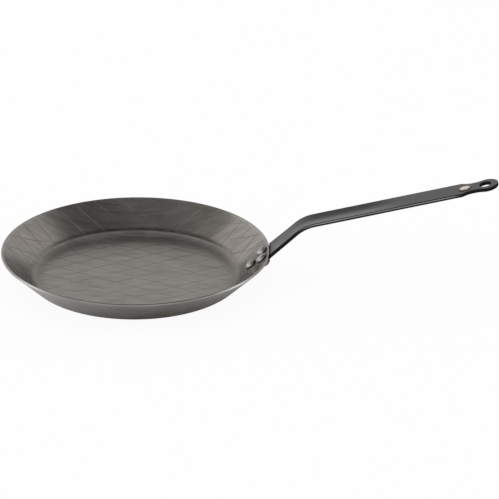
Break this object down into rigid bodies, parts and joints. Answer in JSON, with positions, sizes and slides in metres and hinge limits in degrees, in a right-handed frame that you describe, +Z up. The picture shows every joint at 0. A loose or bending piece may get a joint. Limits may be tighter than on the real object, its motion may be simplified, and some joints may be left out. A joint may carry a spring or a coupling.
{
  "type": "steak pan",
  "caption": "Round flared steel frying pan with a cross-hatched cooking surface and a flat, upswept bar handle that is riveted to the wall and ends in a badge and a hanging eye.",
  "frame": {"origin": "middle of the flat base's underside, on the table", "axes": "+X from the pan's middle along the handle, +Z up, +Y completes the right-handed frame"},
  "size_m": [0.5157, 0.28, 0.1102],
  "materials": {
    "pan_steel": "bare carbon steel, satin grey, with fine cross-hatched lines inside",
    "handle_steel": "darker hot-rolled steel bar, lightly brushed along its length",
    "rivet_steel": "bright satin steel",
    "badge_metal": "pale satin metal with a brownish edge"
  },
  "bodies": {
    "root": {"pan_body": "pan_steel", "handle": "handle_steel", "rivet_upper_left": "rivet_steel", "rivet_upper_right": "rivet_steel", "rivet_lower": "rivet_steel", "handle_badge": "badge_metal"}
  },
  "joints": []
}
